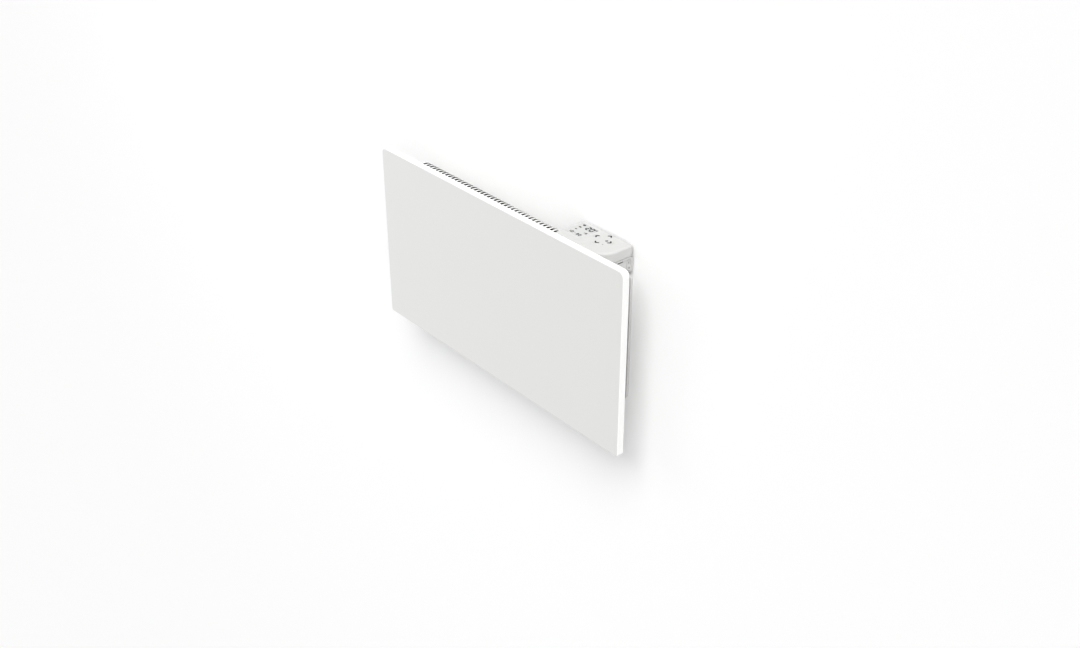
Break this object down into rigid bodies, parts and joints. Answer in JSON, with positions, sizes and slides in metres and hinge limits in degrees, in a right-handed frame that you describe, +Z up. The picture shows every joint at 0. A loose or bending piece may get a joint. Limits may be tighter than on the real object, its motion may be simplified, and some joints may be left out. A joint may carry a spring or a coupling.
{
  "type": "wall panel convector heater",
  "caption": "Flat-fronted wall panel convector heater with a slotted back casing, a corner control hood with display and keys, and a tilting wall bracket.",
  "frame": {"origin": "on the wall plane, at the centre of the four wall screws", "axes": "+X along the panel, to the right seen from the room; +Y into the wall, the front faces -Y; +Z up"},
  "size_m": [0.698, 0.09, 0.3703],
  "materials": {
    "panel_enamel": "satin",
    "frame_enamel": "satin",
    "cap_plastic": "satin",
    "key_plastic": "satin",
    "window_grey": "gloss",
    "display_grey": "matt",
    "board_green": "satin",
    "black_plastic": "matt",
    "switch_plastic": "satin",
    "rocker_plastic": "gloss",
    "zinc_steel": "zinc plated",
    "screw_steel": "bright",
    "pin_steel": "turned",
    "spring_steel": "blued",
    "sheath_steel": "oxidised",
    "extruded_aluminium": "mill",
    "ceramic": "glazed",
    "silicone": "matt",
    "nylon": "satin",
    "probe_black": "satin",
    "lead_brown": "satin",
    "lead_blue": "satin",
    "lead_black": "satin",
    "light_pipe": "clear"
  },
  "bodies": {
    "wall_bracket": {"wall_frame": "frame_enamel", "bracket_arm_left": "frame_enamel", "bracket_arm_right": "frame_enamel", "catch_spring_left": "spring_steel", "catch_spring_right": "spring_steel", "rest_buffers": "silicone", "arm_rivets": "screw_steel"},
    "heater": {"front_panel": "panel_enamel", "back_casing": "panel_enamel", "panel_rail_top": "zinc_steel", "panel_rail_bottom": "zinc_steel", "casing_screws": "screw_steel", "heating_element_fins": "extruded_aluminium", "heating_rod": "sheath_steel", "rod_insulators": "ceramic", "rod_terminals": "screw_steel", "element_bracket_left": "zinc_steel", "element_bracket_right": "zinc_steel", "element_bushes": "silicone", "heat_shield": "zinc_steel", "inner_rivets": "screw_steel", "overheat_cutout": "black_plastic", "sensor_clip": "nylon", "room_sensor": "probe_black", "power_lead": "lead_brown", "cutout_lead": "lead_brown", "sensor_lead": "lead_black", "return_lead": "lead_blue", "lead_clips": "nylon", "lead_sleeve": "silicone", "pivot_bracket_left": "zinc_steel", "pivot_bracket_right": "zinc_steel", "pivot_pin_left": "pin_steel", "pivot_pin_right": "pin_steel", "catch_blade_left": "zinc_steel", "catch_blade_right": "zinc_steel", "outer_rivets": "screw_steel", "control_cap": "cap_plastic", "control_housing": "cap_plastic", "control_back_cover": "cap_plastic", "control_screws": "screw_steel", "display_window": "window_grey", "display_module": "display_grey", "circuit_board": "board_green", "power_relay": "black_plastic", "dome_key_left": "silicone", "dome_key_right": "silicone", "dome_key_up": "silicone", "dome_key_down": "silicone", "status_light": "light_pipe", "terminal_block": "nylon", "mains_switch_frame": "switch_plastic", "switch_terminals": "screw_steel", "cable_gland": "switch_plastic"},
    "key_left_body": {"key_left": "key_plastic"},
    "key_right_body": {"key_right": "key_plastic"},
    "key_up_body": {"key_up": "key_plastic"},
    "key_down_body": {"key_down": "key_plastic"},
    "rocker_body": {"mains_rocker": "rocker_plastic"}
  },
  "joints": [
    {"name": "heater_tilt", "type": "hinge", "parent": "wall_bracket", "child": "heater", "pos_m": [0, -0.022, -0.112], "axis": [1, 0, 0], "range_deg": [0, 20]},
    {"name": "key_left_press", "type": "slide", "parent": "heater", "child": "key_left_body", "axis": [0, 0, -1], "range_m": [0, 0.0006], "stiffness_N_per_m": 1200, "deforming": ["dome_key_left"]},
    {"name": "key_right_press", "type": "slide", "parent": "heater", "child": "key_right_body", "axis": [0, 0, -1], "range_m": [0, 0.0006], "stiffness_N_per_m": 1200, "deforming": ["dome_key_right"]},
    {"name": "key_up_press", "type": "slide", "parent": "heater", "child": "key_up_body", "axis": [0, 0, -1], "range_m": [0, 0.0006], "stiffness_N_per_m": 1200, "deforming": ["dome_key_up"]},
    {"name": "key_down_press", "type": "slide", "parent": "heater", "child": "key_down_body", "axis": [0, 0, -1], "range_m": [0, 0.0006], "stiffness_N_per_m": 1200, "deforming": ["dome_key_down"]},
    {"name": "mains_rocker_tip", "type": "hinge", "parent": "heater", "child": "rocker_body", "pos_m": [0.275, -0.012, 0.1516], "axis": [0, 1, 0], "range_deg": [0, 14]}
  ]
}
